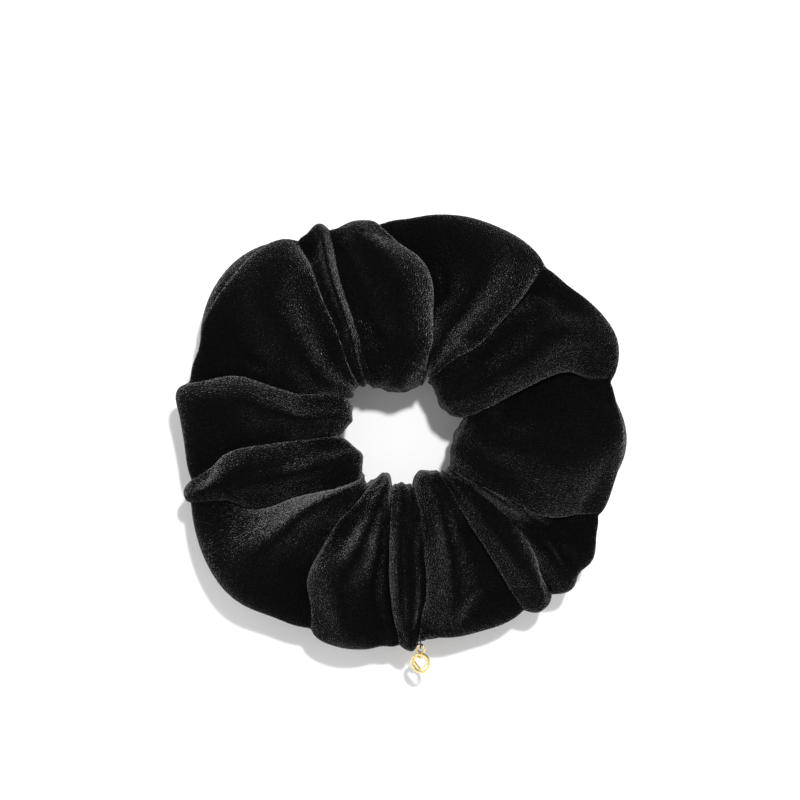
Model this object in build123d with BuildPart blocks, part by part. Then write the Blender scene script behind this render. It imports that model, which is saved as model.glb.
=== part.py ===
from build123d import *
import os
from math import asin, cos, degrees, radians, sin, sqrt

# Velvet scrunchie with a small charm. Millimetres, +Z up, origin at the centre of the hair hole at
# mid height. The charm hangs at the front, towards -Y.

# The velvet tube, gathered into a ring
ring_radius = 72.2
hole_radius = 16.0
ring_height = 27.0
cover_wall = 1.2
inner_corner_radius = 9.5
outer_corner_radius = 13.4
parting_gap = 0.3

# The long seam runs in a groove round the outside of the ring
groove_radius = 5.0
groove_floor_radius = 64.3
groove_lip_radius = 2.0
seam_allowance = 8.0
seam_thickness = 2.0
seam_stitch_inset = 2.0

# Sewing thread
thread_diameter = 0.5
thread_clearance = 0.1
thread_radius = thread_diameter / 2

# The end seam joins the two ends of the velvet tube
end_seam_angle = 107.0
end_seam_depth = 2.6

# The turning gap in the long seam, closed by hand with ladder stitches
closing_start_angle = 113.0
closing_stitch_step = 3.0
closing_stitch_count = 14
closing_stitch_length = 2.6

# Flat elastic, its two ends overlapped and bar-tacked
elastic_radius = 24.0
elastic_width = 8.0
elastic_thickness = 1.2
elastic_lap_gap = 0.1
elastic_lap_angle = 34.0
elastic_rise_angle = 14.0
elastic_join_angle = 60.0
tack_thread_diameter = 0.4
tack_stitch_height = 5.6
tack_stitch_count = 5
tack_stitch_spread = 20.0

# The charm: a pierced disc and its eyelet, cast in one piece
charm_x = 6.45
charm_droop = 10.0
charm_roll = 25.0
disc_diameter = 6.6
disc_thickness = 1.2
disc_rim_width = 0.8
heart_side = 3.0
heart_drop = 0.35
heart_stroke = 0.5
heart_thickness = 0.9
eyelet_radius = 1.35
eyelet_wire_diameter = 0.7
eyelet_overlap = 0.3
casting_edge_radius = 0.15

# The thread bar on the seam and the thread loop between it and the eyelet
tack_bar_y = -65.2
tack_bar_length = 3.0
tack_foot_depth = 1.8
tack_corner_radius = 0.5
loop_back_radius = 0.45
loop_tip_radius = 0.9
loop_tip_centre = 1.55
eyelet_play = 0.25

ring_middle_radius = (ring_radius + hole_radius) / 2
groove_centre_radius = groove_floor_radius + groove_radius
inner_wall_at_groove = groove_floor_radius - cover_wall
thread_lift = thread_radius + thread_clearance

os.makedirs("parts", exist_ok=True)


def radial_plane(angle):
    """The plane through the ring's axis at an angle: local X is the radius and local Y is up."""
    along = (cos(radians(angle)), sin(radians(angle)), 0)
    across = (sin(radians(angle)), -cos(radians(angle)), 0)
    return Plane(origin=(0, 0, 0), x_dir=along, z_dir=across)


def tube_section(plane, inset):
    """The gathered tube's section, drawn inside its outer face by the inset."""
    with BuildSketch(plane) as section:
        with Locations((ring_middle_radius, 0)):
            Rectangle(ring_radius - hole_radius - 2 * inset, ring_height - 2 * inset)
        inner_corners = section.vertices().group_by(Axis.X)[0]
        fillet(inner_corners, inner_corner_radius - inset)
        outer_corners = section.vertices().group_by(Axis.X)[-1]
        fillet(outer_corners, outer_corner_radius - inset)
        with Locations((groove_centre_radius, 0)):
            Circle(groove_radius + inset, mode=Mode.SUBTRACT)
        lips = section.vertices().group_by(Axis.X)[-1]
        fillet(lips, groove_lip_radius - inset / 2)
    return section.sketch


def whole_cover():
    """The closed ring of velvet, with the allowances of both seams inside it."""
    end_plane = radial_plane(end_seam_angle)
    with BuildPart() as cover:
        revolve(tube_section(Plane.XZ, 0), axis=Axis.Z)
        revolve(tube_section(Plane.XZ, cover_wall), axis=Axis.Z, mode=Mode.SUBTRACT)
        with BuildSketch(Plane.XZ):
            with Locations((inner_wall_at_groove + cover_wall / 2, 0)):
                Rectangle(
                    seam_allowance + cover_wall / 2,
                    seam_thickness,
                    align=(Align.MAX, Align.CENTER),
                )
        revolve(axis=Axis.Z)
        extrude(
            tube_section(end_plane, cover_wall / 2)
            - tube_section(end_plane, cover_wall + end_seam_depth),
            amount=seam_thickness / 2,
            both=True,
        )
    return cover.part


def ring_of_thread(radius, height):
    """A thread that runs right round the ring at one height."""
    with BuildPart() as thread:
        with BuildSketch(Plane.XZ):
            with Locations((radius, height)):
                Circle(thread_radius)
        revolve(axis=Axis.Z)
    return thread.part


def finish(piece, name):
    """Label a finished piece and write it."""
    piece.part.label = name
    export_step(piece.part, f"parts/{name}.step")


# Velvet cover. It is one gathered panel. Here it is parted on the ring's diameter, so that the front
# can be pulled away from the rear as the ring stretches open.
cover_solid = whole_cover()

with BuildPart() as velvet_cover_rear:
    add(cover_solid)
    split(bisect_by=Plane.XZ.offset(-parting_gap / 2), keep=Keep.BOTTOM)
finish(velvet_cover_rear, "velvet_cover_rear")

with BuildPart() as velvet_cover_front:
    add(cover_solid)
    split(bisect_by=Plane.XZ.offset(parting_gap / 2), keep=Keep.TOP)
finish(velvet_cover_front, "velvet_cover_front")

# Long seam: the needle thread lies above the allowances and the bobbin thread below them.
long_seam_radius = inner_wall_at_groove - seam_stitch_inset
long_seam_height = seam_thickness / 2 + thread_lift

with BuildPart() as long_seam_needle_thread:
    add(ring_of_thread(long_seam_radius, long_seam_height))
finish(long_seam_needle_thread, "long_seam_needle_thread")

with BuildPart() as long_seam_bobbin_thread:
    add(ring_of_thread(long_seam_radius, -long_seam_height))
finish(long_seam_bobbin_thread, "long_seam_bobbin_thread")

# End seam: a thread on each side of the allowance ring.
end_thread_inset = cover_wall + end_seam_depth / 2


def end_seam_thread(side):
    """The seam thread that lies on one side of the end seam's allowance."""
    plane = radial_plane(end_seam_angle).offset(side * (seam_thickness / 2 + thread_lift))
    path = tube_section(plane, end_thread_inset).face().outer_wire()
    with BuildPart() as thread:
        with BuildSketch(Plane(origin=path @ 0, z_dir=path % 0)):
            Circle(thread_radius)
        sweep(path=path)
    return thread.part


with BuildPart() as end_seam_needle_thread:
    add(end_seam_thread(1))
finish(end_seam_needle_thread, "end_seam_needle_thread")

with BuildPart() as end_seam_bobbin_thread:
    add(end_seam_thread(-1))
finish(end_seam_bobbin_thread, "end_seam_bobbin_thread")

# Closing stitches: short upright bars, half sunk in the groove's floor.
stitch_step_angle = degrees(closing_stitch_step / groove_floor_radius)

with BuildPart() as closing_stitches:
    for i in range(closing_stitch_count):
        stitch_plane = radial_plane(closing_start_angle + i * stitch_step_angle)
        stitch_centre = stitch_plane.from_local_coords((groove_floor_radius, 0, 0))
        with BuildSketch(Plane(origin=stitch_centre, z_dir=(0, 0, 1))):
            Circle(thread_radius)
        extrude(amount=closing_stitch_length / 2, both=True)
finish(closing_stitches, "closing_stitches")

# Elastic: a flat band on edge. One end rises outwards and laps over the other.
lap_radius = elastic_radius + elastic_thickness + elastic_lap_gap
lap_start = elastic_join_angle - elastic_lap_angle / 2

with BuildPart() as elastic_band:
    with BuildSketch(Plane.XY.offset(-elastic_width / 2)):
        with BuildLine():
            inner_run = CenterArc((0, 0), elastic_radius, lap_start, 360 - elastic_rise_angle)
            lap_run = CenterArc((0, 0), lap_radius, lap_start, elastic_lap_angle)
            Spline(inner_run @ 1, lap_run @ 0, tangents=[inner_run % 1, lap_run % 0])
        trace(line_width=elastic_thickness)
    extrude(amount=elastic_width)
finish(elastic_band, "elastic_band")

# Elastic join: upright loops of thread that pass through both layers of the lap.
join_middle_radius = (elastic_radius + lap_radius) / 2
join_loop_depth = lap_radius - elastic_radius + elastic_thickness + thread_diameter

with BuildPart() as elastic_join_stitches:
    for i in range(tack_stitch_count):
        stitch_angle = elastic_join_angle + tack_stitch_spread * (i / (tack_stitch_count - 1) - 0.5)
        loop_plane = radial_plane(stitch_angle)
        with BuildSketch(loop_plane, mode=Mode.PRIVATE) as loop_outline:
            with Locations((join_middle_radius, 0)):
                RectangleRounded(join_loop_depth, tack_stitch_height, tack_thread_diameter)
        stitch_path = loop_outline.sketch.face().outer_wire()
        with BuildSketch(Plane(origin=stitch_path @ 0, z_dir=stitch_path % 0)):
            Circle(tack_thread_diameter / 2)
        sweep(path=stitch_path)
finish(elastic_join_stitches, "elastic_join_stitches")

# Charm tack: a bar of thread on the seam, with a foot sewn into the velvet at each end.
with BuildPart() as charm_tack:
    with BuildLine() as tack_path:
        FilletPolyline(
            (charm_x - tack_bar_length / 2, tack_bar_y + tack_foot_depth, 0),
            (charm_x - tack_bar_length / 2, tack_bar_y, 0),
            (charm_x + tack_bar_length / 2, tack_bar_y, 0),
            (charm_x + tack_bar_length / 2, tack_bar_y + tack_foot_depth, 0),
            radius=tack_corner_radius,
        )
    with BuildSketch(Plane(origin=tack_path.line @ 0, z_dir=tack_path.line % 0)):
        Circle(thread_radius)
    sweep()
finish(charm_tack, "charm_tack")

# The loop and the charm share a plane that starts at the bar: local X points out along the charm.
hang = Vector(0, -cos(radians(charm_droop)), -sin(radians(charm_droop)))
bar_centre = Vector(charm_x, tack_bar_y, 0)
loop_plane_upright = Plane(origin=bar_centre, x_dir=hang, z_dir=(1, 0, 0))

# Charm thread loop: a teardrop, small round the bar and wide round the eyelet.
loop_lean = degrees(asin((loop_tip_radius - loop_back_radius) / loop_tip_centre))

with BuildPart() as charm_thread_loop:
    with BuildLine(loop_plane_upright) as loop_path:
        back = CenterArc((0, 0), loop_back_radius, 90 + loop_lean, 180 - 2 * loop_lean)
        tip = CenterArc((loop_tip_centre, 0), loop_tip_radius, -90 - loop_lean, 180 + 2 * loop_lean)
        Line(back @ 1, tip @ 0)
        Line(tip @ 1, back @ 0)
    with BuildSketch(Plane(origin=tip @ 0, z_dir=tip % 0)):
        Circle(thread_radius)
    sweep(path=loop_path.wire())
finish(charm_thread_loop, "charm_thread_loop")

# Charm: its own plane is rolled about the line that it hangs on.
pivot_distance = loop_tip_centre + loop_tip_radius
eyelet_centre = pivot_distance + eyelet_play
disc_radius = disc_diameter / 2
eyelet_outer_radius = eyelet_radius + eyelet_wire_diameter / 2
disc_centre = eyelet_centre + eyelet_outer_radius + disc_radius - eyelet_overlap
across_charm = Vector(1, 0, 0).rotate(Axis((0, 0, 0), hang), charm_roll)
charm_face = Plane(origin=bar_centre, x_dir=hang, z_dir=hang.cross(across_charm))


def heart(side, drop):
    """A heart as a square on its corner with a round lobe on each upper side, point along local X."""
    lobe = side / (2 * sqrt(2))
    with BuildSketch(Plane.XY) as outline:
        with Locations((drop, 0)):
            Rectangle(side, side, rotation=45)
        with Locations((drop - lobe, lobe), (drop - lobe, -lobe)):
            Circle(side / 2)
    return outline.sketch


def heart_outline(side, drop, stroke):
    """The heart drawn as a line of even width."""
    solid_heart = heart(side, drop)
    return solid_heart - offset(solid_heart, amount=-stroke, mode=Mode.PRIVATE)


with BuildPart() as charm:
    with BuildSketch(charm_face.offset(-disc_thickness / 2)):
        with Locations((disc_centre, 0)):
            Circle(disc_radius)
            Circle(disc_radius - disc_rim_width, mode=Mode.SUBTRACT)
    extrude(amount=disc_thickness)
    rim_edges = charm.edges().filter_by(GeomType.CIRCLE)
    fillet(rim_edges, casting_edge_radius)
    with BuildSketch(charm_face.offset(-heart_thickness / 2)):
        with Locations((disc_centre, 0)):
            add(heart_outline(heart_side, heart_drop, heart_stroke))
    extrude(amount=heart_thickness)
    eyelet_wire_centre = charm_face.from_local_coords((eyelet_centre + eyelet_radius, 0, 0))
    eyelet_axis = Axis(charm_face.from_local_coords((eyelet_centre, 0, 0)), charm_face.z_dir)
    with BuildSketch(Plane(origin=eyelet_wire_centre, x_dir=hang, z_dir=across_charm)):
        Circle(eyelet_wire_diameter / 2)
    revolve(axis=eyelet_axis)
finish(charm, "charm")

# The two pivots of the charm, for the record.
pivot = bar_centre + hang * pivot_distance
sway_axis = loop_plane_upright.y_dir
print("loop swing pivot", bar_centre, "sway pivot", pivot, "sway axis", sway_axis)
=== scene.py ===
import math
from collections import namedtuple

import bmesh
import bpy
import numpy as np
from mathutils import Matrix, Vector


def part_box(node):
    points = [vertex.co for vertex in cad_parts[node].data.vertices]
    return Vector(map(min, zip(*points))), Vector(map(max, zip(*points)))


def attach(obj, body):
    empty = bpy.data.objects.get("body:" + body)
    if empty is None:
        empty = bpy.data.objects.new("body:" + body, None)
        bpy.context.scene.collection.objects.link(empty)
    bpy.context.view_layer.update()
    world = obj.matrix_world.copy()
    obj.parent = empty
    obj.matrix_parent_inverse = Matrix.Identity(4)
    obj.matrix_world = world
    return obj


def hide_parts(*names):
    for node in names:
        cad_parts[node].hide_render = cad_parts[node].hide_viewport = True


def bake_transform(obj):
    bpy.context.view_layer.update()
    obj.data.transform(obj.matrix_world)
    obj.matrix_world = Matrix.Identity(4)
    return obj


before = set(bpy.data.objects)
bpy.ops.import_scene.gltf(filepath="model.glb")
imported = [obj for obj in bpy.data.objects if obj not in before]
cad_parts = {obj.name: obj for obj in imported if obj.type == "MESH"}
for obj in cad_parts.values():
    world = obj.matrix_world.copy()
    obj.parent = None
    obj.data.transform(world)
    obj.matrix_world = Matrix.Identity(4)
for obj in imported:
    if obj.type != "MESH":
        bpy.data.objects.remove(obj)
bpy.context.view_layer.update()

MM = 0.001
PHOTO_FIELD = 0.2517        # width of the picture at the object, in metres
RING_OFFSET_IN_PICTURE = 0.0104
CAMERA_HEIGHT = 1.1

cover_low, cover_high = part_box("velvet_cover_front")
FLOOR_Z = cover_low.z
HALF_HEIGHT = cover_high.z / MM
tack_low, tack_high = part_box("charm_tack")
CHARM_X = (tack_low.x + tack_high.x) / 2 / MM
TACK_RADIUS = -tack_low.y / MM
elastic_low, elastic_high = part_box("elastic_band")
CHARM_ANGLE = math.degrees(math.atan2(-TACK_RADIUS, CHARM_X))
ELASTIC_RADIUS = -elastic_low.x / MM
ELASTIC_ROOM = elastic_high.z / MM + 1.1
ELASTIC_SIDE_ROOM = 2.2

# sizes that the CAD model gives the sewn pieces, in millimetres and degrees
ELASTIC_MIDDLE_RADIUS = 24.0
ELASTIC_WIDTH = 8.0
ELASTIC_THICKNESS = 1.2
ELASTIC_LAP_START = 43.0
ELASTIC_LAP = 34.0
ELASTIC_RISE = 14.0
ELASTIC_LAP_RADIUS = 25.3
ELASTIC_JOIN_ANGLE = 60.0
ELASTIC_JOIN_SPREAD = 20.0
ELASTIC_JOIN_HEIGHT = 5.6
SEAM_ALLOWANCE = 8.0
SEAM_STITCH_INSET = 3.2
STITCH_LENGTH = 2.5
LONG_STITCH_REACH = 1.15
END_STITCH_REACH = 1.2
THREAD_DIAMETER = 0.5
CLOSING_START = 113.0
CLOSING_STEP = 2.67
CLOSING_COUNT = 14
CHARM_DROOP = 10.0
TACK_BAR_LENGTH = 3.0
TACK_BAR_Y = -65.2
TACK_FOOT_DEPTH = 1.8
LOOP_BACK_RADIUS = 0.45
LOOP_TIP_RADIUS = 0.9
LOOP_TIP_CENTRE = 1.55
CLOTH_THICKNESS = 0.9
END_SEAM_ANGLE = 107.0
END_SEAM_DEPTH = 2.2
END_SEAM_PUFF = 2
END_SEAM_SHARE = 0.8

# ---------------------------------------------------------------- velvet cover: the layout of its folds

# A fold line runs from the hair hole over the top to the seam. Its angles are in degrees: at the hole, at a
# third and two thirds of the way out, and at the seam; depth is in millimetres on the top; lean is how far the
# puff after it (counter-clockwise) lies over the puff before it; lip is how far that puff's crest is from the
# fold, in millimetres, at the hole and at the seam.
Fold = namedtuple("Fold", "hole third two_thirds seam depth lean hole_lip seam_lip")
FOLDS = [
    Fold(13, 20, 22, 13, 11.0, 0.8, 4, 16),
    Fold(61, 51, 48, 49, 10.0, 0.7, 8, 16),
    Fold(65, 72, 83, 97, 11.0, 0.9, 4, 14),
    Fold(120, 114, 111, 109, 6.0, 0.1, 2, 2),
    Fold(131, 124, 118, 118, 11.0, 0.6, 13, 9),
    Fold(145, 161, 162, 167, 10.0, 0.8, 5, 6),
    Fold(182, 186, 187, 193, 10.0, 0.7, 8, 6),
    Fold(230, 216, 206, 198, 13.0, 0.3, 1, 26),
    Fold(240, 237, 238, 246, 11.0, 0.7, 4, 18),
    Fold(262, 264, 268, 270, 8.0, 0.5, 3, 4),
    Fold(283, 287, 280, 275, 11.0, 0.9, 6, 9),
    Fold(314, 309, 306, 305, 8.0, 0.5, 4, 9),
    Fold(320, 324, 319, 313, 9.0, 0.3, 3, 6),
    Fold(325, 327, 332, 338, 12.0, 1.0, 13, 29),
]

# For the puff that follows each fold line: its radius at the hole and at the outside, and its crest height
# over the ring's mid height, in millimetres; roof is 0 for a puff that is round on top and 1 for one with two
# straight slopes.
Puff = namedtuple("Puff", "hole outside crest roof")
PUFFS = [
    Puff(14.8, 76.0, 13.0, 0.2),
    Puff(20.0, 72.0, 12.5, 0.3),
    Puff(11.4, 69.5, 13.5, 0.1),
    Puff(18.0, 71.5, 11.5, 1.0),
    Puff(18.5, 76.0, 13.5, 0.2),
    Puff(15.4, 70.0, 12.5, 0.9),
    Puff(13.6, 71.0, 10.5, 0.4),
    Puff(18.5, 74.2, 13.5, 1.0),
    Puff(12.8, 71.0, 12.5, 0.3),
    Puff(15.4, 71.6, 12.0, 0.3),
    Puff(12.4, 70.2, 13.5, 0.7),
    Puff(17.5, 73.0, 11.5, 0.4),
    Puff(19.0, 74.0, 11.0, 0.7),
    Puff(15.8, 72.5, 13.5, 0.3),
]

# Softer creases inside a puff: which puff, where across it (0 to 1) at the hole and at the seam, how deep and
# how wide in millimetres, and the stretch of the way out, 0 to 1, that it runs along.
Crease = namedtuple("Crease", "puff at_hole at_seam depth width start stop")
CREASES = [
    Crease(0, 0.20, 0.30, 2.0, 4.5, -0.1, 0.5),
    Crease(0, 0.70, 0.62, 2.6, 5.0, -0.1, 0.75),
    Crease(0, 0.62, 0.60, 3.4, 2.6, 0.62, 1.05),
    Crease(0, 0.72, 0.72, 3.0, 13.0, 0.75, 1.6),
    Crease(1, 0.34, 0.14, 2.0, 3.0, 0.2, 1.05),
    Crease(1, 0.60, 0.62, 1.8, 4.5, 0.2, 0.9),
    Crease(1, 0.74, 0.82, 4.0, 3.0, 0.35, 1.1),
    Crease(2, 0.30, 0.40, 3.4, 3.4, -0.2, 0.45),
    Crease(2, 0.64, 0.66, 3.6, 3.4, -0.2, 0.55),
    Crease(2, 0.85, 0.80, 2.4, 4.0, -0.2, 1.1),
    Crease(3, 0.50, 0.55, 1.0, 2.0, 0.2, 1.1),
    Crease(4, 0.32, 0.08, 2.4, 3.4, -0.1, 0.9),
    Crease(4, 0.80, 0.62, 1.8, 6.0, 0.1, 1.1),
    Crease(4, 0.80, 0.80, 5.5, 2.2, 0.4, 1.15),
    Crease(5, 0.75, 0.78, 2.0, 5.0, 0.2, 1.0),
    Crease(6, 0.38, 0.40, 2.8, 2.2, 0.2, 0.85),
    Crease(7, 0.80, 0.80, 1.2, 6.0, 0.5, 1.1),
    Crease(8, 0.34, 0.12, 6.0, 2.6, 0.08, 0.62),
    Crease(8, 0.62, 0.60, 2.4, 4.0, 0.45, 1.1),
    Crease(8, 0.78, 0.80, 4.2, 3.0, 0.05, 1.1),
    Crease(9, 0.42, 0.38, 3.4, 1.8, 0.05, 1.05),
    Crease(9, 0.70, 0.72, 2.6, 1.5, 0.2, 1.05),
    Crease(10, 0.50, 0.55, 2.0, 6.0, -0.1, 1.1),
    Crease(10, 0.76, 0.84, 2.6, 4.0, -0.2, 1.05),
    Crease(10, 0.20, 0.20, 3.2, 10.0, 0.75, 1.6),
    Crease(11, 0.55, 0.58, 1.6, 3.0, 0.2, 1.1),
    Crease(12, 0.50, 0.36, 6.0, 2.6, 0.35, 1.12),
    Crease(12, 0.60, 0.80, 3.0, 3.5, 0.4, 1.1),
    Crease(13, 0.70, 0.70, 3.4, 4.5, -0.1, 1.0),
    Crease(13, 0.34, 0.34, 1.6, 5.0, -0.1, 0.6),
    Crease(13, 0.86, 0.88, 2.6, 4.0, -0.2, 1.05),
]

COLUMNS_PER_PUFF = 24
even_shares = np.arange(COLUMNS_PER_PUFF) / COLUMNS_PER_PUFF
# where the columns are across a puff, from 0 to 1: closer together towards the fold lines
COLUMN_SHARES = 0.35 * even_shares + 0.65 * (1 - np.cos(np.pi * even_shares)) / 2
ROWS = 136
SEAM_GROOVE_DEPTH = 4.0
SEAM_GROOVE_WIDTH = 0.03    # share of the way round the tube
CHARM_ROOM_WIDTH = 7.0      # degrees round the ring
CHARM_ROOM_WIDENING = 1.3   # how much wider the groove is behind the charm
HILL_DEPTH = 0.45
SCALLOP_DEPTH = 0.28
SCALLOP_REACH = 16.0        # how far out from the hair hole the scallops go
OVERHANG = 4.0
FLOOR_GAP = 0.05
FLOOR_SOFTNESS = 0.5
FOLD_SMOOTHING_PASSES = 2
RIBS_PER_MM = 1.6
END_SEAM_COLUMN = END_SEAM_PUFF * COLUMNS_PER_PUFF + int(np.argmin(np.abs(COLUMN_SHARES - END_SEAM_SHARE)))
# where the seam rides up into view or to the charm: angle and width in degrees, and share of the way round
SEAM_LIFTS = [(140, 22, 0.06), (0, 18, 0.05), (CHARM_ANGLE, 12, 0.03)]


def smooth(x):
    x = np.clip(x, 0, 1)
    return x * x * (3 - 2 * x)


def lerp(a, b, t):
    return a + (b - a) * t


def lower_of(a, b):
    """The lower of two lengths in millimetres, with the change from one to the other rounded."""
    return -np.logaddexp(-a / 1.2, -b / 1.2) * 1.2


def around(values, where):
    """A smooth closed curve through evenly spaced values, read at where, from 0 to 1."""
    n = len(values)
    x = (where % 1.0) * n
    i = np.floor(x).astype(int)
    t = x - i
    p = [np.asarray(values)[(i + k) % n] for k in (-1, 0, 1, 2)]
    return 0.5 * (
        2 * p[1] + (p[2] - p[0]) * t + (2 * p[0] - 5 * p[1] + 4 * p[2] - p[3]) * t**2
        + (3 * p[1] - p[0] - 3 * p[2] + p[3]) * t**3
    )


def fold_angle(fold, v, bottom_shift):
    """Where a fold line is, in degrees, at v round the tube: 0 at the hole, 0.25 on top, 0.5 at the seam."""
    stations = [
        fold.hole,
        fold.hole * 0.6 + fold.third * 0.4,
        fold.third * 0.75 + fold.two_thirds * 0.25,
        fold.two_thirds * 0.85 + fold.third * 0.15,
        fold.two_thirds * 0.35 + fold.seam * 0.65,
        fold.seam,
        fold.seam,
        fold.seam * 0.7 + fold.two_thirds * 0.3 + bottom_shift * 0.5,
        fold.two_thirds * 0.6 + fold.third * 0.4 + bottom_shift,
        fold.third * 0.6 + fold.hole * 0.4 + bottom_shift * 0.6,
    ]
    return around(stations, v)


def puff_profile(t, lip, roof):
    """Height of a puff across its width: up to its crest at t = lip, then down under its neighbour."""
    fall = np.clip((t - lip) / (1 - lip), 0, 1)
    rounded_top = np.sin(np.pi / 2 * np.minimum(t / lip, 1)) ** 0.75 - fall**1.9
    two_slopes = -np.logaddexp(-10 * t / lip, -10 * (1 - (t - lip) / (1 - lip))) / 10
    return lerp(rounded_top, two_slopes, roof)


def overhang(t, lean):
    """How far the lip is carried sideways over the neighbour, from 0 to 1."""
    return max(0.0, lean) * np.exp(-(((t - 0.07) / 0.09) ** 2)) * smooth(t / 0.045)


def waves(theta, along, seed, count, coarse, fine):
    """Low hills of uneven length, running mostly outwards from the hole."""
    rng = np.random.default_rng(seed)
    total = 0
    for _ in range(count):
        turns = rng.integers(coarse, fine)
        total = total + np.sin(turns * theta + rng.uniform(0.5, 2.5) * along + rng.uniform(0, 6.3))
    return total / math.sqrt(count)


def cover_mesh():
    """The gathered tube, a closed surface, as a grid of columns round the ring and rows round the tube."""
    rng = np.random.default_rng(8)
    n = len(FOLDS)
    bottom_shift = rng.uniform(-7, 7, n)
    v = np.arange(ROWS) / ROWS
    phi = 2 * np.pi * v
    c, s = -np.cos(phi), np.sin(phi)
    # inward across the section, straight down on the top
    inward_r = -np.sign(c) * np.abs(c) ** 1.5
    inward_z = -np.sign(s) * np.abs(s) ** 0.9
    length = np.hypot(inward_r, inward_z)
    inward_r, inward_z = inward_r / length, inward_z / length
    fold_angles = [fold_angle(fold, v, shift) for fold, shift in zip(FOLDS, bottom_shift)]
    fold_angles.append(fold_angles[0] + 360)
    widths = np.radians(np.diff(fold_angles, axis=0))
    narrower = np.minimum(widths, np.roll(widths, 1, axis=0))
    columns = []
    seams = []
    for k in range(n):
        before, after = FOLDS[k], FOLDS[(k + 1) % n]
        previous, puff, following = PUFFS[k - 1], PUFFS[k], PUFFS[(k + 1) % n]
        creases = [crease for crease in CREASES if crease.puff == k]
        for t in COLUMN_SHARES:
            share_before = 0.5 * (1 - smooth(t / 0.35))
            share_after = 0.5 * (1 - smooth((1 - t) / 0.35))
            own = 1 - share_before - share_after
            hole, outside, crest = [
                puff[i] * own + previous[i] * share_before + following[i] * share_after for i in range(3)
            ]
            theta = np.radians(fold_angles[k]) + widths[k] * t

            # the crest surface
            middle, half = (hole + outside) / 2, (outside - hole) / 2
            radius = middle + half * np.sign(c) * np.abs(c) ** np.where(c < 0, 0.8, 0.92)
            height = np.where(s >= 0, crest, HALF_HEIGHT) * np.sign(s) * np.abs(s) ** np.where(c < 0, 0.64, 0.82)
            out = (radius - hole) / (outside - hole)

            # how deep the fold lines are here
            wide = np.clip(radius, 12, None)
            puff_width = widths[k] * wide
            top = np.abs(s)
            depth = lerp(
                lower_of(before.depth, narrower[k] * wide), lower_of(after.depth, narrower[(k + 1) % n] * wide), t
            )
            on_side = np.where(c < 0, 0.95, lerp(0.7, 0.32, smooth(s * 2 + 0.5)))
            depth = depth * lerp(on_side, 1.0, smooth(top * 1.3)) * lerp(0.9, 1.0, smooth(s * 2 + 0.5))
            depth = depth * lerp(0.6, 1.0, smooth((radius - 23) / 14))
            lip = lerp(before.hole_lip, before.seam_lip, out**2)
            roof = puff.roof * smooth(top * 1.5)
            profile = puff_profile(t, np.clip(lip / puff_width, 0.1, 0.62), roof)
            sink = depth * (1 - profile)

            # softer creases
            for crease in creases:
                centre = lerp(crease.at_hole, crease.at_seam, out)
                across = (t - centre) * puff_width / crease.width
                reach = smooth((out - crease.start) / 0.2) * smooth((crease.stop - out) / 0.25)
                where = np.where(s >= 0, 1.0, 0.5) * lerp(0.35, 1.0, smooth((radius - 20) / 14))
                sink = sink + where * reach * crease.depth * np.exp(-np.abs(across) ** 1.8) * smooth(profile * 1.6)

            # low hills, and small scallops beside the hair hole
            sink = sink + HILL_DEPTH * waves(theta, 2.2 * phi, 3, 5, 9, 22) * smooth(profile * 1.5)
            near_hole = 1 - smooth((radius - hole) / SCALLOP_REACH)
            sink = sink + SCALLOP_DEPTH * (1 + waves(theta, 0.6 * phi, 5, 4, 26, 42)) * near_hole

            # the elastic holds the cloth off
            to_side = (ELASTIC_RADIUS - ELASTIC_SIDE_ROOM - radius) / np.clip(inward_r, 0.05, 1)
            to_edge = (np.abs(height) - ELASTIC_ROOM) / np.clip(np.abs(inward_z), 0.05, 1)
            limit = np.maximum(-lower_of(-to_side, -to_edge), 0.2) + 25 * smooth((radius - ELASTIC_RADIUS - 2) / 10)
            sink = lower_of(sink, limit)

            radius = radius + sink * inward_r
            height = height + sink * inward_z

            # the puff's edge carried over its neighbour
            carry = overhang(t, before.lean) * OVERHANG * np.minimum(1, puff_width / 16) * smooth(depth / 9)
            theta = theta - carry * lerp(0.15, 1.0, smooth(top * 1.2)) / radius

            # the seam pulls a groove round the outside
            degrees = np.degrees(theta)
            seam_v = np.full(ROWS, 0.53)
            for place, width_of_place, lift in SEAM_LIFTS:
                seam_v = seam_v - lift * np.exp(-((((degrees - place + 180) % 360 - 180) / width_of_place) ** 2))
            # wider but shallower behind the charm, which swings there
            at_charm = np.exp(-((((degrees - CHARM_ANGLE + 180) % 360 - 180) / CHARM_ROOM_WIDTH) ** 2))
            groove_width = SEAM_GROOVE_WIDTH * (1 + CHARM_ROOM_WIDENING * at_charm)
            groove = np.exp(-np.abs((v - seam_v) / groove_width) ** 1.5)
            radius = radius - (SEAM_GROOVE_DEPTH - at_charm) * groove

            columns.append(np.stack([radius * np.cos(theta), radius * np.sin(theta), height], axis=1))
            seams.append(seam_v[ROWS // 2])
    return np.array(columns), np.array(seams)


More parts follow.
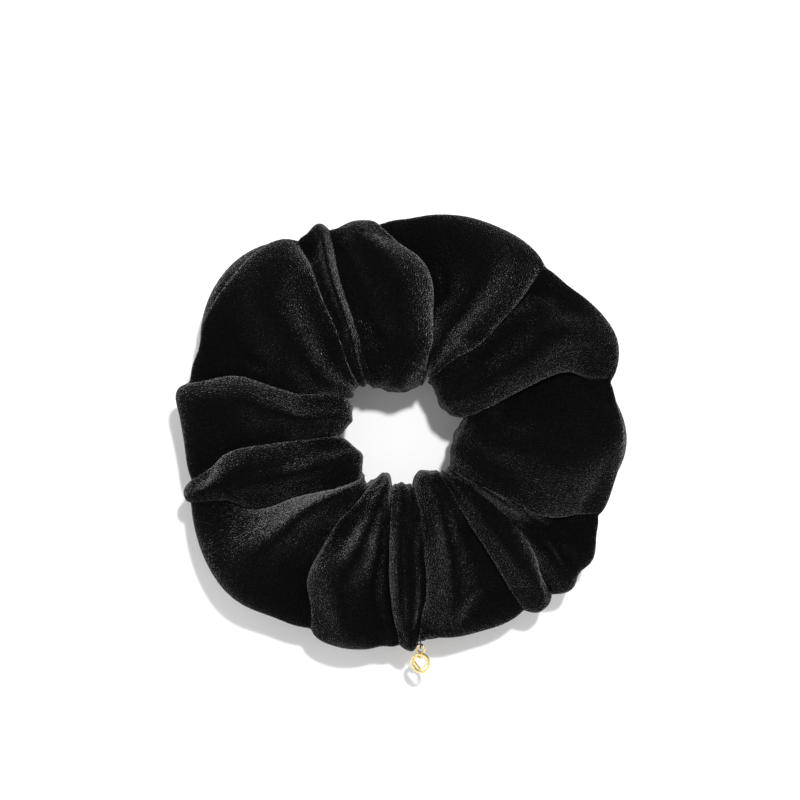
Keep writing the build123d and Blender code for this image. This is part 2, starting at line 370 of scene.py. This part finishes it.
def grids_object(name, grids, closed_u=True):
    """One object from grids of points in millimetres; each closes on itself in v, and in u if closed_u."""
    points, faces, first = [], [], 0
    for grid in grids:
        nu, nv, _ = grid.shape
        index = first + np.arange(nu * nv).reshape(nu, nv)
        iu = np.arange(nu if closed_u else nu - 1)
        iv = np.arange(nv)
        a = index[np.ix_(iu, iv)]
        b = index[np.ix_((iu + 1) % nu, iv)]
        c = index[np.ix_((iu + 1) % nu, (iv + 1) % nv)]
        d = index[np.ix_(iu, (iv + 1) % nv)]
        faces += np.stack([a, b, c, d], axis=-1).reshape(-1, 4).tolist()
        if not closed_u:
            faces += [index[0].tolist(), index[-1][::-1].tolist()]
        points.append(grid.reshape(-1, 3))
        first += nu * nv
    mesh = bpy.data.meshes.new(name)
    mesh.from_pydata((np.concatenate(points) * MM).tolist(), [], faces)
    work = bmesh.new()
    work.from_mesh(mesh)
    bmesh.ops.recalc_face_normals(work, faces=work.faces)
    work.to_mesh(mesh)
    work.free()
    mesh.shade_smooth()
    obj = bpy.data.objects.new(name, mesh)
    bpy.context.scene.collection.objects.link(obj)
    return obj


def apply_modifiers(obj):
    bpy.context.view_layer.update()
    final = bpy.data.meshes.new_from_object(obj.evaluated_get(bpy.context.evaluated_depsgraph_get()))
    obj.modifiers.clear()
    obj.data = final


def unit(vectors):
    return vectors / np.linalg.norm(vectors, axis=-1, keepdims=True)


def frames_along(path, closed):
    """Directions along and across a path, the across ones turning no more than the path makes them."""
    ahead = np.roll(path, -1, axis=0) - np.roll(path, 1, axis=0)
    if not closed:
        ahead[0], ahead[-1] = path[1] - path[0], path[-1] - path[-2]
    along = unit(ahead)
    across = np.empty_like(along)
    across[0] = unit(np.cross(along[0], (0.3, 0.2, 1.0)))
    for i in range(1, len(path)):
        across[i] = unit(across[i - 1] - along[i] * np.dot(across[i - 1], along[i]))
    if closed:
        back = unit(across[-1] - along[0] * np.dot(across[-1], along[0]))
        miss = math.atan2(np.dot(np.cross(back, across[0]), along[0]), np.dot(back, across[0]))
        turn = miss * np.arange(len(path))[:, None] / len(path)
        across = across * np.cos(turn) + np.cross(along, across) * np.sin(turn)
    return along, across, np.cross(along, across)


def tube_round(path, radius, closed, sides=6):
    _, across, up = frames_along(path, closed)
    angle = 2 * np.pi * np.arange(sides)[None, :, None] / sides
    return path[:, None] + radius * (np.cos(angle) * across[:, None] + np.sin(angle) * up[:, None])


def twisted(path, diameter, closed, plies=2, turns_per_mm=0.6):
    """The plies of a twisted thread that follows a path."""
    _, across, up = frames_along(path, closed)
    steps = np.linalg.norm(np.diff(path, axis=0), axis=1)
    along = np.concatenate([[0], np.cumsum(steps)])
    turns = round(along[-1] * turns_per_mm)
    share = along / (along[-1] + (steps.mean() if closed else 0))
    grids = []
    for ply in range(plies):
        angle = 2 * np.pi * (turns * share + ply / plies)[:, None]
        offset = diameter * 0.23 * (np.cos(angle) * across + np.sin(angle) * up)
        grids.append(tube_round(path + offset, diameter * 0.27, closed))
    return grids


def join_into(obj, other):
    """Make another object's mesh part of this one."""
    work = bmesh.new()
    work.from_mesh(obj.data)
    work.from_mesh(other.data)
    work.to_mesh(obj.data)
    work.free()
    bpy.data.objects.remove(other)


def lay_out_flat(obj, nu, nv):
    """Texture coordinates in metres along the cloth: round the ring, then round the tube."""
    mesh = obj.data
    points = np.empty(nu * nv * 3)
    mesh.vertices.foreach_get("co", points)
    points = points.reshape(nu, nv, 3)
    steps_u = np.linalg.norm(np.roll(points, -1, axis=0) - points, axis=2).mean(axis=1)
    steps_v = np.linalg.norm(np.roll(points, -1, axis=1) - points, axis=2).mean(axis=0)
    along_u = np.concatenate([[0], np.cumsum(steps_u)])
    along_v = np.concatenate([[0], np.cumsum(steps_v)])
    corners = np.empty(len(mesh.loops), dtype=int)
    mesh.loops.foreach_get("vertex_index", corners)
    column, row = corners.reshape(-1, 4) // nv, corners.reshape(-1, 4) % nv
    column = np.where((column == 0) & (column.max(axis=1, keepdims=True) == nu - 1), nu, column)
    row = np.where((row == 0) & (row.max(axis=1, keepdims=True) == nv - 1), nv, row)
    layer = mesh.uv_layers.new(name="flat")
    layer.data.foreach_set("uv", np.stack([along_u[column], along_v[row]], axis=-1).ravel())


# ---------------------------------------------------------------- materials


def new_material(name):
    material = bpy.data.materials.new(name)
    material.use_nodes = True
    tree = material.node_tree
    return material, tree, tree.nodes["Principled BSDF"]


def node(tree, kind, inputs=None, **settings):
    """A shader node with its settings and its inputs, which are either fixed values or other nodes' outputs."""
    made = tree.nodes.new(kind)
    for name, value in settings.items():
        setattr(made, name, value)
    for name, value in (inputs or {}).items():
        if isinstance(value, bpy.types.NodeSocket):
            tree.links.new(value, made.inputs[name])
        else:
            made.inputs[name].default_value = value
    return made


def velvet_material():
    """Black velvet: nearly black along the pile, bright at a slant, with the pile laid round the ring."""
    material, tree, shader = new_material("black_velvet")
    shader.inputs["Roughness"].default_value = 0.95
    shader.inputs["Specular IOR Level"].default_value = 0.02
    shader.inputs["Sheen Weight"].default_value = 1.0
    shader.inputs["Sheen Roughness"].default_value = 0.33

    place = node(tree, "ShaderNodeTexCoord")
    # the pile leans round the ring, more in some patches than in others
    round_ring = node(
        tree, "ShaderNodeVectorMath", {0: place.outputs["Object"], 1: (0, 0, 1)}, operation="CROSS_PRODUCT"
    )
    round_ring = node(tree, "ShaderNodeVectorMath", {0: round_ring.outputs[0]}, operation="NORMALIZE")
    patches = node(tree, "ShaderNodeTexNoise", {"Vector": place.outputs["Object"], "Scale": 70, "Detail": 2})
    lay = node(
        tree, "ShaderNodeMapRange",
        {"Value": patches.outputs["Fac"], "From Min": 0.3, "From Max": 0.7, "To Min": 0.1, "To Max": 0.4},
    )
    lean = node(
        tree, "ShaderNodeVectorMath", {0: round_ring.outputs[0], "Scale": lay.outputs[0]}, operation="SCALE"
    )
    surface = node(tree, "ShaderNodeNewGeometry")
    leaning = node(
        tree, "ShaderNodeVectorMath", {0: surface.outputs["Normal"], 1: lean.outputs[0]}, operation="ADD"
    )
    leaning = node(tree, "ShaderNodeVectorMath", {0: leaning.outputs[0]}, operation="NORMALIZE")

    # tufts of pile, some catching the light and some not, and the ribs of the knit under it
    grain = node(tree, "ShaderNodeTexNoise", {"Vector": place.outputs["Object"], "Scale": 2600, "Detail": 1})
    tufts = node(
        tree, "ShaderNodeBump",
        {"Height": grain.outputs["Fac"], "Normal": leaning.outputs[0], "Strength": 1.0, "Distance": 0.0005},
    )
    ribs = node(
        tree, "ShaderNodeTexWave",
        {"Vector": place.outputs["UV"], "Scale": RIBS_PER_MM * 1000 / 20 * math.tau, "Distortion": 0.0},
    )
    ribbed = node(
        tree, "ShaderNodeBump",
        {"Height": ribs.outputs["Fac"], "Normal": tufts.outputs[0], "Strength": 0.4, "Distance": 0.00005},
    )
    tree.links.new(ribbed.outputs[0], shader.inputs["Normal"])

    tips = node(tree, "ShaderNodeTexNoise", {"Vector": place.outputs["Object"], "Scale": 3100, "Detail": 0})
    glint = node(tree, "ShaderNodeValToRGB", {"Fac": tips.outputs["Fac"]})
    glint.color_ramp.elements[0].position = 0.42
    glint.color_ramp.elements[0].color = (0.03, 0.03, 0.03, 1)
    glint.color_ramp.elements[1].position = 0.6
    glint.color_ramp.elements[1].color = (0.46, 0.46, 0.47, 1)
    tree.links.new(glint.outputs["Color"], shader.inputs["Sheen Tint"])

    black = node(tree, "ShaderNodeValToRGB", {"Fac": grain.outputs["Fac"]})
    black.color_ramp.elements[0].position = 0.35
    black.color_ramp.elements[0].color = (0.0007, 0.0007, 0.0007, 1)
    black.color_ramp.elements[1].position = 0.7
    black.color_ramp.elements[1].color = (0.0026, 0.0026, 0.0027, 1)
    tree.links.new(black.outputs["Color"], shader.inputs["Base Color"])
    return material


def thread_material(name, colour):
    """Spun thread: matt, with the fine fibres of its plies."""
    material, tree, shader = new_material(name)
    shader.inputs["Roughness"].default_value = 0.7
    shader.inputs["Specular IOR Level"].default_value = 0.25
    shader.inputs["Sheen Weight"].default_value = 0.4
    place = node(tree, "ShaderNodeTexCoord")
    fibres = node(tree, "ShaderNodeTexNoise", {"Vector": place.outputs["Object"], "Scale": 9000, "Detail": 3})
    shade = node(tree, "ShaderNodeValToRGB", {"Fac": fibres.outputs["Fac"]})
    shade.color_ramp.elements[0].color = tuple(c * 0.4 for c in colour[:3]) + (1,)
    shade.color_ramp.elements[1].color = tuple(c * 2.2 for c in colour[:3]) + (1,)
    bump = node(tree, "ShaderNodeBump", {"Height": fibres.outputs["Fac"], "Strength": 0.6, "Distance": 0.0001})
    tree.links.new(shade.outputs["Color"], shader.inputs["Base Color"])
    tree.links.new(bump.outputs[0], shader.inputs["Normal"])
    return material


def elastic_material():
    """Black woven elastic: fine yarns that cross the ribs."""
    material, tree, shader = new_material("woven_elastic")
    shader.inputs["Roughness"].default_value = 0.6
    shader.inputs["Specular IOR Level"].default_value = 0.3
    place = node(tree, "ShaderNodeTexCoord")
    yarns = node(
        tree, "ShaderNodeTexWave", {"Vector": place.outputs["Object"], "Scale": 1500, "Distortion": 1.5},
        wave_type="RINGS", rings_direction="Z",
    )
    wear = node(tree, "ShaderNodeTexNoise", {"Vector": place.outputs["Object"], "Scale": 900, "Detail": 4})
    shade = node(tree, "ShaderNodeValToRGB", {"Fac": wear.outputs["Fac"]})
    shade.color_ramp.elements[0].color = (0.008, 0.008, 0.009, 1)
    shade.color_ramp.elements[1].color = (0.045, 0.045, 0.048, 1)
    bump = node(tree, "ShaderNodeBump", {"Height": yarns.outputs["Fac"], "Strength": 0.5, "Distance": 0.0002})
    tree.links.new(shade.outputs["Color"], shader.inputs["Base Color"])
    tree.links.new(bump.outputs[0], shader.inputs["Normal"])
    return material


def gold_material():
    """Polished gold plate: a little uneven from the casting, with fine scratches and duller spots."""
    material, tree, shader = new_material("gold_plate")
    shader.inputs["Metallic"].default_value = 1.0
    place = node(tree, "ShaderNodeTexCoord")
    cast = node(tree, "ShaderNodeTexNoise", {"Vector": place.outputs["Object"], "Scale": 1200, "Detail": 4})
    scratches = node(
        tree, "ShaderNodeTexNoise",
        {"Vector": place.outputs["Object"], "Scale": 6000, "Detail": 2, "Distortion": 2.0},
    )
    tone = node(tree, "ShaderNodeValToRGB", {"Fac": cast.outputs["Fac"]})
    tone.color_ramp.elements[0].position = 0.3
    tone.color_ramp.elements[0].color = (0.7, 0.48, 0.17, 1)
    tone.color_ramp.elements[1].position = 0.65
    tone.color_ramp.elements[1].color = (0.96, 0.78, 0.4, 1)
    polish = node(
        tree, "ShaderNodeMapRange",
        {"Value": scratches.outputs["Fac"], "From Min": 0.35, "From Max": 0.7, "To Min": 0.08, "To Max": 0.24},
    )
    bump = node(tree, "ShaderNodeBump", {"Height": cast.outputs["Fac"], "Strength": 0.4, "Distance": 0.00008})
    tree.links.new(tone.outputs["Color"], shader.inputs["Base Color"])
    tree.links.new(polish.outputs[0], shader.inputs["Roughness"])
    tree.links.new(bump.outputs[0], shader.inputs["Normal"])
    return material


# ---------------------------------------------------------------- cloth simulation

SIM_SCALE = 10
SIM_FRAMES = 12
LEAST_PIN = 0.3     # every point is held at least this much, and the elastic side and the seam fully


def relax(obj, frames, pin_weights):
    """Let the cloth settle: it is a little larger than its first shape, so that it buckles as velvet does."""
    mesh = obj.data
    mesh.transform(Matrix.Scale(SIM_SCALE, 4))
    group = obj.vertex_groups.new(name="pin")
    for index in np.nonzero(pin_weights > 0.01)[0]:
        group.add([int(index)], float(pin_weights[index]), "REPLACE")
    cloth = obj.modifiers.new("cloth", "CLOTH")
    settings = cloth.settings
    settings.quality = 6
    settings.mass = 0.3
    settings.tension_stiffness = 15
    settings.compression_stiffness = 15
    settings.shear_stiffness = 5
    settings.bending_stiffness = 4.0
    settings.air_damping = 4
    settings.use_pressure = True
    settings.uniform_pressure_force = 3.0
    settings.shrink_min = -0.012
    settings.vertex_group_mass = "pin"
    settings.pin_stiffness = 1.0
    settings.effector_weights.gravity = 0.0
    cloth.collision_settings.use_collision = False
    cloth.collision_settings.use_self_collision = False
    cloth.point_cache.frame_start = 1
    cloth.point_cache.frame_end = frames
    for frame_number in range(1, frames + 1):
        bpy.context.scene.frame_set(frame_number)
    depsgraph = bpy.context.evaluated_depsgraph_get()
    settled = bpy.data.meshes.new_from_object(obj.evaluated_get(depsgraph))
    obj.modifiers.clear()
    obj.vertex_groups.clear()
    obj.data = settled
    settled.transform(Matrix.Scale(1 / SIM_SCALE, 4))
    settled.shade_smooth()
    bpy.context.scene.frame_set(1)


# ---------------------------------------------------------------- build


def with_ring(obj, material, slot, *nodes):
    """A piece of the ring: gives it its material, bakes its placement into its points and hides the CAD parts that
    it replaces.
    """
    obj.data.materials.append(material)
    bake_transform(obj)
    if nodes:
        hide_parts(*nodes)


def settle(obj, shape):
    """Even out columns that are pushed together at a fold line, and flatten the underside softly where it
    would go through the floor; returns the cloth's points."""
    points = np.empty(shape[0] * shape[1] * 3)
    obj.data.vertices.foreach_get("co", points)
    points = points.reshape(shape[0], shape[1], 3) / MM
    for _ in range(FOLD_SMOOTHING_PASSES):
        points = (np.roll(points, 1, axis=0) + 2 * points + np.roll(points, -1, axis=0)) / 4
    floor_height = FLOOR_Z / MM + FLOOR_GAP
    above = (points[..., 2] - floor_height) / FLOOR_SOFTNESS
    points[..., 2] = floor_height + FLOOR_SOFTNESS * np.logaddexp(0, above)
    obj.data.vertices.foreach_set("co", (points * MM).ravel())
    obj.data.update()
    return points


def ring_average(values, window):
    padded = np.concatenate([values[-window:], values, values[:window]])
    kernel = np.hanning(2 * window + 1)
    return np.convolve(padded, kernel / kernel.sum(), "valid")


def seam_line(cloth, seams, count=240):
    """The seam's radius and height at even angles round the ring, just inside the groove that it pulls."""
    rows = np.round(seams * ROWS).astype(int)
    points = cloth[np.arange(len(cloth)), rows]
    angle = np.degrees(np.arctan2(points[:, 1], points[:, 0])) % 360
    radius = np.hypot(points[:, 0], points[:, 1])
    at = np.arange(count) * 360 / count
    apart = np.abs((angle[None] - at[:, None] + 180) % 360 - 180)
    lowest = np.where(apart < 5, radius[None], 99).min(axis=1)
    near = np.exp(-((apart / 3) ** 2))
    height = (near * points[None, :, 2]).sum(axis=1) / near.sum(axis=1)
    return ring_average(lowest, 6) - 0.6, ring_average(height, 6)


def round_ring(radius, height, angle):
    return np.stack([radius * np.cos(angle), radius * np.sin(angle), height], axis=-1)


def seam_allowance(radius, height, side):
    """One ply of the allowance: flat to the stitch line, then ruffled away from the other ply."""
    angle = 2 * np.pi * np.arange(len(radius)) / len(radius)
    ruffle = 0.5 + 0.35 * np.sin(23 * angle + side) + 0.25 * np.sin(41 * angle + 2 * side)
    depths = np.array([0.0, 0.8, 2.0, 3.2, 4.6, 6.0, 7.2, SEAM_ALLOWANCE])
    near_edge = smooth((depths - SEAM_STITCH_INSET) / 5)
    face = []
    for depth, spread in zip(depths, near_edge):
        face.append((radius - depth, height + side * (0.08 + ruffle * spread)))
    outer = 0.9 * smooth((depths + 0.3) / 1.5)
    other = [(r, h + side * thick) for (r, h), thick in zip(face, outer)]
    ring = face + other[::-1]
    if side < 0:
        ring = ring[::-1]
    return np.stack([round_ring(r, h, angle) for r, h in ring], axis=1)


def stitched(base, across, step, reach):
    """A lockstitch thread: it lies along the cloth at a distance and dips into it between stitches."""
    steps = np.linalg.norm(np.roll(base, -1, axis=0) - base, axis=1)
    length = steps.sum()
    count = round(length / step)
    at = np.concatenate([[0], np.cumsum(steps)])
    fine = np.arange(count * 8) * length / (count * 8)
    closed = np.concatenate([base, base[:1]])
    directions = np.concatenate([across, across[:1]])
    path = np.stack([np.interp(fine, at, closed[:, i]) for i in range(3)], axis=1)
    direction = unit(np.stack([np.interp(fine, at, directions[:, i]) for i in range(3)], axis=1))
    lift = 1 - np.abs(np.cos(np.pi * count * fine / length)) ** 6
    return path + direction * (reach * lift)[:, None]


def elastic_path():
    """Angles and radii along the elastic: once round, up over its own start, and along the lap."""
    angle = ELASTIC_LAP_START + np.arange(0, 360 + ELASTIC_LAP + 0.1, 1.5)
    rise = smooth((angle - ELASTIC_LAP_START - 360 + ELASTIC_RISE) / ELASTIC_RISE)
    return np.radians(angle), ELASTIC_MIDDLE_RADIUS + (ELASTIC_LAP_RADIUS - ELASTIC_MIDDLE_RADIUS) * rise


def elastic_mesh():
    """A woven band on edge, ribbed lengthwise, with soft edges and a slight pull at each crossing thread."""
    angle, radius = elastic_path()
    ribs, per_rib = 11, 4
    z = np.linspace(-1, 1, ribs * per_rib + 1)
    cord = 0.14 * np.abs(np.cos(np.pi * ribs * (z + 1) / 2)) ** 2
    edge = np.sqrt(np.clip(1 - np.abs(z) ** 10, 0, 1))
    half = ELASTIC_THICKNESS / 2 * edge - cord * edge
    profile = np.concatenate([np.stack([half, z], 1)[1:-1], np.stack([-half, z], 1)[::-1][1:-1]])
    crossing = 1 + 0.05 * np.cos(np.arange(len(angle)) * np.pi)
    out = profile[None, :, 0] * crossing[:, None]
    up = profile[None, :, 1] * ELASTIC_WIDTH / 2 * np.ones_like(out)
    return round_ring(radius[:, None] + out, up, angle[:, None] * np.ones_like(out))


def join_path():
    """A zigzag down the outside of the lap and back up the inside, through both layers at its ends."""
    turns = 8
    share = np.linspace(0, 1, turns + 1)
    angle = np.radians(ELASTIC_JOIN_ANGLE + ELASTIC_JOIN_SPREAD * (share - 0.5))
    height = ELASTIC_JOIN_HEIGHT / 2 * np.where(np.arange(turns + 1) % 2 == 0, -1, 1)
    gap = ELASTIC_THICKNESS / 2 + THREAD_DIAMETER * 0.3
    outside = round_ring(np.full(turns + 1, ELASTIC_LAP_RADIUS + gap), height, angle)
    inside = round_ring(np.full(turns + 1, ELASTIC_MIDDLE_RADIUS - gap), height, angle)
    corners = np.concatenate([outside, inside[::-1]])
    return rounded(corners, 6)


def rounded(corners, between):
    """A closed polyline with points added between its corners, its corners a little rounded."""
    where = np.arange(len(corners) * between) / (len(corners) * between)
    straight = np.stack(
        [np.interp(where * len(corners), np.arange(len(corners) + 1), np.append(corners[:, i], corners[0, i]))
         for i in range(3)], axis=1
    )
    return (np.roll(straight, 1, axis=0) + 2 * straight + np.roll(straight, -1, axis=0)) / 4


def end_seam_loop(cloth, depth):
    """A loop round inside the tube at the end seam, at a depth under the velvet, and its sideways direction."""
    column = END_SEAM_COLUMN
    loop = cloth[column]
    along_ring = cloth[column + 1] - cloth[column - 1]
    along_tube = np.roll(loop, -1, axis=0) - np.roll(loop, 1, axis=0)
    inward = unit(np.cross(along_tube, along_ring))
    middle = loop.mean(axis=0)
    if np.sum(inward * (middle - loop)) < 0:
        inward = -inward
    for _ in range(12):
        inward = unit(np.roll(inward, 1, axis=0) + inward + np.roll(inward, -1, axis=0))
    side = np.tile(unit(round_ring(1.0, 0.0, np.radians(END_SEAM_ANGLE + 90))), (len(loop), 1))
    return loop + inward * depth, side


def closing_stitch(cloth, seams, angle):
    """One hand stitch over the closed turning gap, from one side of the seam to the other."""
    rows = np.round(seams * ROWS).astype(int)
    columns = np.arange(len(cloth))
    points = cloth[columns, rows]
    at = np.degrees(np.arctan2(points[:, 1], points[:, 0]))
    column = int(np.argmin(np.abs((at - angle + 180) % 360 - 180)))
    near = cloth[column, rows[column]]
    out = unit(near * (1, 1, 0))
    lean = np.array([-out[1], out[0], 0]) * 0.5
    heights = np.linspace(-1, 1, 9)
    depth = 0.55 - 1.1 * np.abs(heights) ** 3
    return np.array([near + out * d + lean * h + np.array([0, 0, 1.3 * h]) for d, h in zip(depth, heights)])


def tack_path():
    """The thread bar on the seam: a staple whose two feet go into the velvet."""
    half = TACK_BAR_LENGTH / 2
    corners = np.array([
        (CHARM_X - half, TACK_BAR_Y + TACK_FOOT_DEPTH, 0), (CHARM_X - half, TACK_BAR_Y + 0.4, 0),
        (CHARM_X - half + 0.4, TACK_BAR_Y, 0), (CHARM_X + half - 0.4, TACK_BAR_Y, 0),
        (CHARM_X + half, TACK_BAR_Y + 0.4, 0), (CHARM_X + half, TACK_BAR_Y + TACK_FOOT_DEPTH, 0),
    ])
    where = np.linspace(0, len(corners) - 1, 41)
    return np.stack([np.interp(where, np.arange(len(corners)), corners[:, i]) for i in range(3)], axis=1)


def loop_path():
    """The charm's thread loop: a teardrop, small round the bar and wide round the eyelet."""
    lean = math.asin((LOOP_TIP_RADIUS - LOOP_BACK_RADIUS) / LOOP_TIP_CENTRE)
    back = np.linspace(math.pi / 2 + lean, 3 * math.pi / 2 - lean, 12)
    tip = np.linspace(-math.pi / 2 - lean, math.pi / 2 + lean, 20)
    x = np.concatenate([LOOP_BACK_RADIUS * np.cos(back), LOOP_TIP_CENTRE + LOOP_TIP_RADIUS * np.cos(tip)])
    y = np.concatenate([LOOP_BACK_RADIUS * np.sin(back), LOOP_TIP_RADIUS * np.sin(tip)])
    droop = math.radians(CHARM_DROOP)
    hang = np.array([0, -math.cos(droop), -math.sin(droop)])
    across = np.cross((1, 0, 0), hang)
    corners = np.array([CHARM_X, TACK_BAR_Y, 0]) + x[:, None] * hang + y[:, None] * across
    return rounded(corners, 2)


velvet = velvet_material()
elastic_cloth = elastic_material()
thread = thread_material("sewing_thread", (0.006, 0.006, 0.007, 1))
charm_thread = thread_material("charm_thread", (0.004, 0.004, 0.005, 1))

grid, seams = cover_mesh()
cover = grids_object("velvet_cover", [grid])
row = np.arange(ROWS) / ROWS
elastic_pin = np.exp(-((np.minimum(row, 1 - row) / 0.02) ** 2))
seam_pin = np.exp(-(((row[None] - seams[:, None]) / 0.012) ** 2))
relax(cover, SIM_FRAMES, np.clip(np.maximum(elastic_pin[None], seam_pin), LEAST_PIN, 1).ravel())
cloth = settle(cover, grid.shape)
lay_out_flat(cover, *grid.shape[:2])
shell = cover.modifiers.new("thickness", "SOLIDIFY")
shell.thickness = CLOTH_THICKNESS * MM
shell.offset = -1
shell.thickness_clamp = 2.0
apply_modifiers(cover)

seam_radius, seam_height = seam_line(cloth, seams)
seam_angle = 2 * np.pi * np.arange(len(seam_radius)) / len(seam_radius)
plies = [seam_allowance(seam_radius, seam_height, side) for side in (1, -1)]
join_into(cover, grids_object("allowance", plies))
with_ring(cover, velvet, "velvet", "velvet_cover_rear", "velvet_cover_front")
stitch_line = round_ring(seam_radius - SEAM_STITCH_INSET, seam_height, seam_angle)
for name, side in (("long_seam_needle_thread", 1), ("long_seam_bobbin_thread", -1)):
    up = np.tile([0.0, 0.0, float(side)], (len(stitch_line), 1))
    path = stitched(stitch_line, up, STITCH_LENGTH, LONG_STITCH_REACH)
    with_ring(grids_object("stitched_" + name, twisted(path, THREAD_DIAMETER, True)), thread, "sewing_thread", name)

for name, side in (("end_seam_needle_thread", 1), ("end_seam_bobbin_thread", -1)):
    loop, sideways = end_seam_loop(cloth, END_SEAM_DEPTH)
    path = stitched(loop, side * sideways, STITCH_LENGTH, END_STITCH_REACH)
    with_ring(grids_object("stitched_" + name, twisted(path, THREAD_DIAMETER, True)), thread, "sewing_thread", name)

closing = []
for i in range(CLOSING_COUNT):
    closing += twisted(closing_stitch(cloth, seams, CLOSING_START + i * CLOSING_STEP), THREAD_DIAMETER, False)
with_ring(grids_object("ladder_stitches", closing, False), thread, "sewing_thread", "closing_stitches")

with_ring(grids_object("woven_elastic", [elastic_mesh()], False), elastic_cloth, "elastic", "elastic_band")
zigzag = twisted(join_path(), 0.4, True)
with_ring(grids_object("elastic_zigzag", zigzag), thread, "sewing_thread", "elastic_join_stitches")

bar = grids_object("thread_bar", twisted(tack_path(), THREAD_DIAMETER, False, 3, 0.8), False)
bar.data.materials.append(charm_thread)
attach(bar, "front")
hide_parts("charm_tack")
hanger = grids_object("thread_loop", twisted(loop_path(), THREAD_DIAMETER, True, 3, 0.8))
hanger.data.materials.append(charm_thread)
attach(hanger, "charm_loop")
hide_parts("charm_thread_loop")

gold = gold_material()
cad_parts["charm"].data.materials.clear()
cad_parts["charm"].data.materials.append(gold)

# ---------------------------------------------------------------- stage, light and camera

FLOOR_HALF_SIDE = 3.0
SUN_STRENGTH = 2.9
SUN_SPREAD = 5          # degrees across: how soft its shadows are
SUN_ELEVATION = 64
SUN_AZIMUTH = 65
SENSOR_WIDTH = 36

floor_mesh = bpy.data.meshes.new("floor")
half = FLOOR_HALF_SIDE
floor_corners = [(-half, -half, FLOOR_Z), (half, -half, FLOOR_Z), (half, half, FLOOR_Z), (-half, half, FLOOR_Z)]
floor_mesh.from_pydata(floor_corners, [], [(0, 1, 2, 3)])
floor = bpy.data.objects.new("floor", floor_mesh)
bpy.context.scene.collection.objects.link(floor)
paper, _, paper_shader = new_material("white_paper")
paper_shader.inputs["Base Color"].default_value = (0.92, 0.92, 0.92, 1)
paper_shader.inputs["Roughness"].default_value = 0.9
paper_shader.inputs["Specular IOR Level"].default_value = 0.1
floor.data.materials.append(paper)

world = bpy.data.worlds.new("studio")
world.use_nodes = True
sky = world.node_tree
sky.nodes["Background"].inputs["Color"].default_value = (1, 1, 1, 1)
# white walls all round, and a darker ceiling
direction = node(sky, "ShaderNodeTexCoord")
upwards = node(sky, "ShaderNodeSeparateXYZ", {"Vector": direction.outputs["Generated"]})
upwards = node(sky, "ShaderNodeMath", {0: upwards.outputs["Z"], 1: upwards.outputs["Z"]}, operation="MULTIPLY")
brightness = node(
    sky, "ShaderNodeMapRange",
    {"Value": upwards.outputs[0], "From Min": 0.0, "From Max": 1.0, "To Min": 1.8, "To Max": 0.1},
)
sky.links.new(brightness.outputs[0], sky.nodes["Background"].inputs["Strength"])
bpy.context.scene.world = world
bpy.context.scene.view_settings.view_transform = "Standard"

sun_data = bpy.data.lights.new("key", "SUN")
sun_data.energy = SUN_STRENGTH
sun_data.angle = math.radians(SUN_SPREAD)
sun = bpy.data.objects.new("key", sun_data)
bpy.context.scene.collection.objects.link(sun)
elevation, azimuth = math.radians(SUN_ELEVATION), math.radians(SUN_AZIMUTH)
level = math.cos(elevation)
toward = Vector((math.cos(azimuth) * level, math.sin(azimuth) * level, math.sin(elevation)))
sun.rotation_euler = toward.to_track_quat("Z", "Y").to_euler()

camera_data = bpy.data.cameras.new("camera")
camera_data.sensor_width = SENSOR_WIDTH
camera_data.lens = SENSOR_WIDTH * CAMERA_HEIGHT / PHOTO_FIELD
camera = bpy.data.objects.new("camera", camera_data)
camera.location = (0, RING_OFFSET_IN_PICTURE, CAMERA_HEIGHT)
bpy.context.scene.collection.objects.link(camera)
bpy.context.scene.camera = camera
